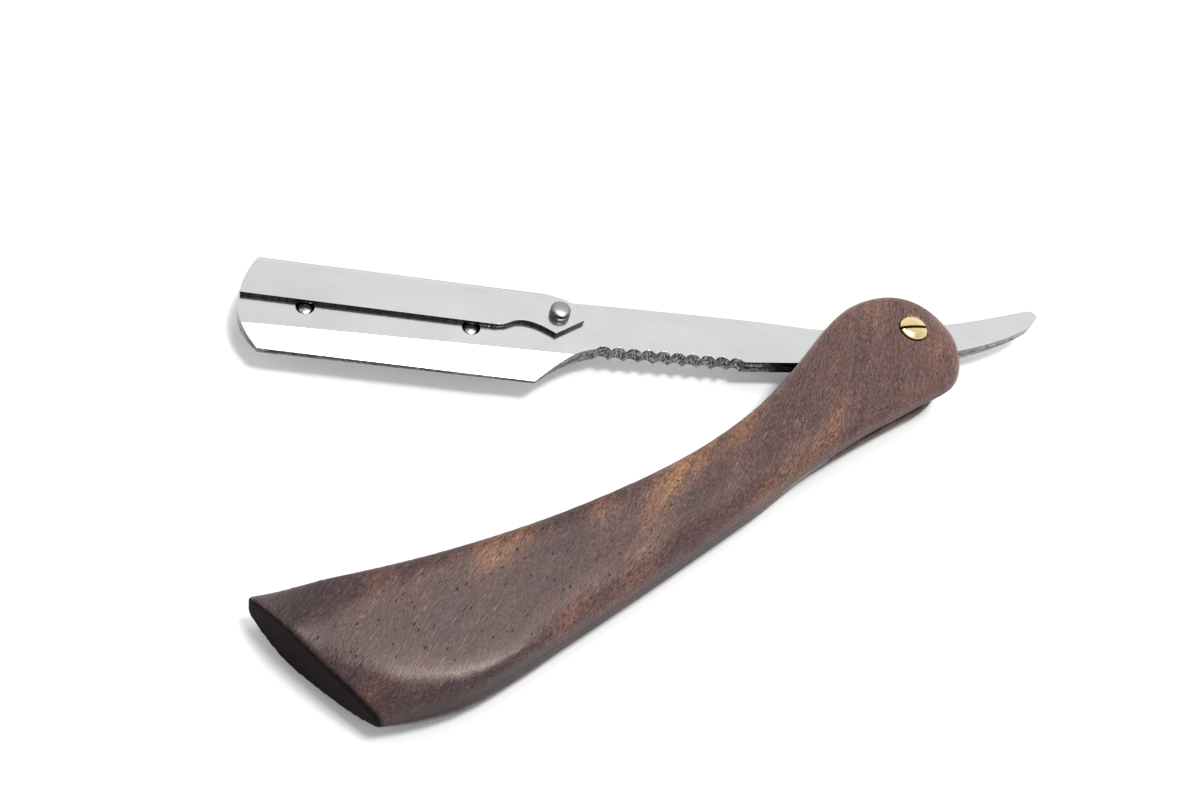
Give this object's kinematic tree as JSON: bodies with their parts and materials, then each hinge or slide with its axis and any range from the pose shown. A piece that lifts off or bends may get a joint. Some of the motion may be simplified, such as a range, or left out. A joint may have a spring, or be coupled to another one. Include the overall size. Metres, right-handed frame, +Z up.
{
  "type": "folding straight razor with replaceable half blade",
  "caption": "Folding barber's razor: slotted wooden handle, steel arm of two plates that hold a half blade, and a riveted clip that swings to lock them.",
  "frame": {"origin": "middle of the bounding box in X and Y, at the handle's back face, which lies on the table", "axes": "+X along the handle from its butt towards the pivot and on along the longest extent, +Y from the handle towards the opened arm, +Z up, square to the flat faces and along the pivot screw from back to front"},
  "size_m": [0.1582, 0.0858, 0.0117],
  "materials": {
    "wood": "dark rosewood, oiled satin, open pores",
    "brass": "polished",
    "satin_steel": "stainless steel, fine satin",
    "pin_steel": "stainless steel, tumbled",
    "blade_steel": "hardened thin steel, ground edge"
  },
  "bodies": {
    "handle": {"handle": "wood", "pivot_screw": "brass", "pivot_sleeve": "brass", "washer_front": "brass", "washer_back": "brass"},
    "arm": {"front_plate": "satin_steel", "back_plate": "satin_steel", "half_blade": "blade_steel", "pin_nose": "pin_steel", "pin_heel": "pin_steel", "clip_rivet": "pin_steel", "rivet_washer": "pin_steel"},
    "clip": {"locking_clip": "satin_steel"}
  },
  "joints": [
    {"name": "arm_fold", "type": "hinge", "parent": "handle", "child": "arm", "pos_m": [0.04863, -0.02637, 0.0056], "axis": [0, 0, 1], "range_deg": [-270, 29.5]},
    {"name": "clip_swing", "type": "hinge", "parent": "arm", "child": "clip", "pos_m": [-0.00752, 0.00853, 0.0056], "axis": [0, 0, 1], "range_deg": [-90, 0]}
  ]
}
